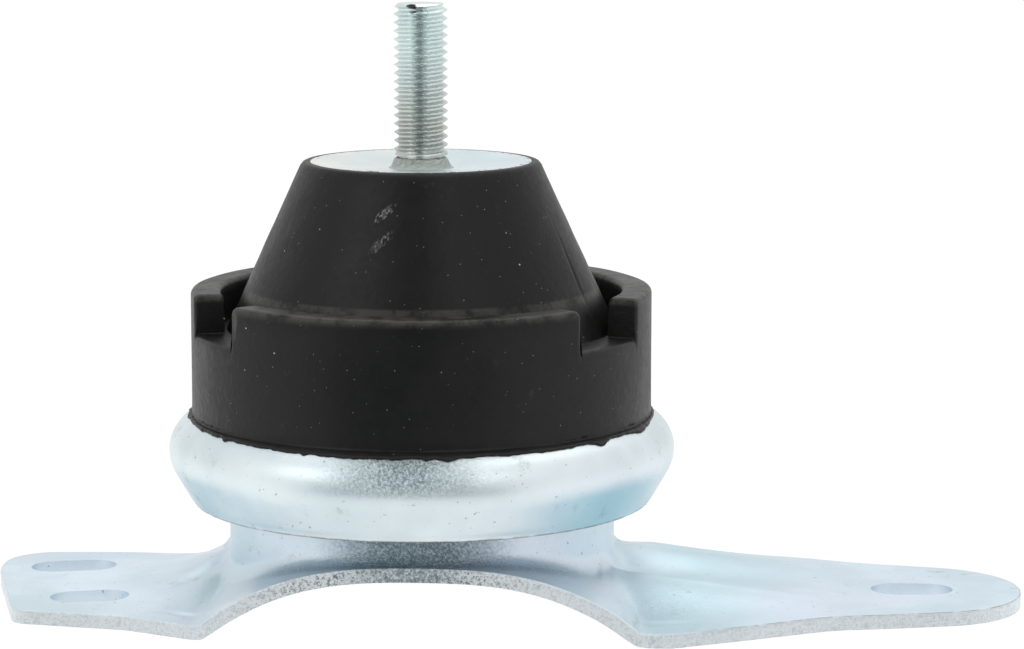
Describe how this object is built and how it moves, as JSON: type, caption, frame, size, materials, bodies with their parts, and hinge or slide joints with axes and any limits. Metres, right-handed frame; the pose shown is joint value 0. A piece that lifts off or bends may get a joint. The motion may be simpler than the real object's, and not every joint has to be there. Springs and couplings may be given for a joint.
{
  "type": "engine mount",
  "caption": "Fluid-filled rubber engine mount with a threaded stud on a rubber cone, a notched stop collar, a crimped steel ring and an arched pressed bracket with two slotted ears.",
  "frame": {"origin": "the point where the stud's axis meets the plane of the bracket's undersides", "axes": "+Z along the stud, away from the bracket; +X along the long ear with one slot, -X towards the short ear with two slots; -Y is the side of the stop collar that has no notch in its middle"},
  "size_m": [0.2186, 0.1064, 0.1257],
  "materials": {
    "zinc_plated_steel": "bright zinc plating, slightly grainy",
    "bonded_rubber": "satin moulded rubber",
    "soft_rubber": "smooth moulded rubber",
    "cast_aluminium": "die cast"
  },
  "bodies": {
    "root": {"stud": "zinc_plated_steel", "core_insert": "zinc_plated_steel", "rubber_body": "bonded_rubber", "clamp_ring": "zinc_plated_steel", "channel_plate_upper": "cast_aluminium", "decoupler": "soft_rubber", "channel_plate_lower": "cast_aluminium", "diaphragm": "soft_rubber", "lower_cup": "zinc_plated_steel", "mount_bracket": "zinc_plated_steel"}
  },
  "joints": []
}
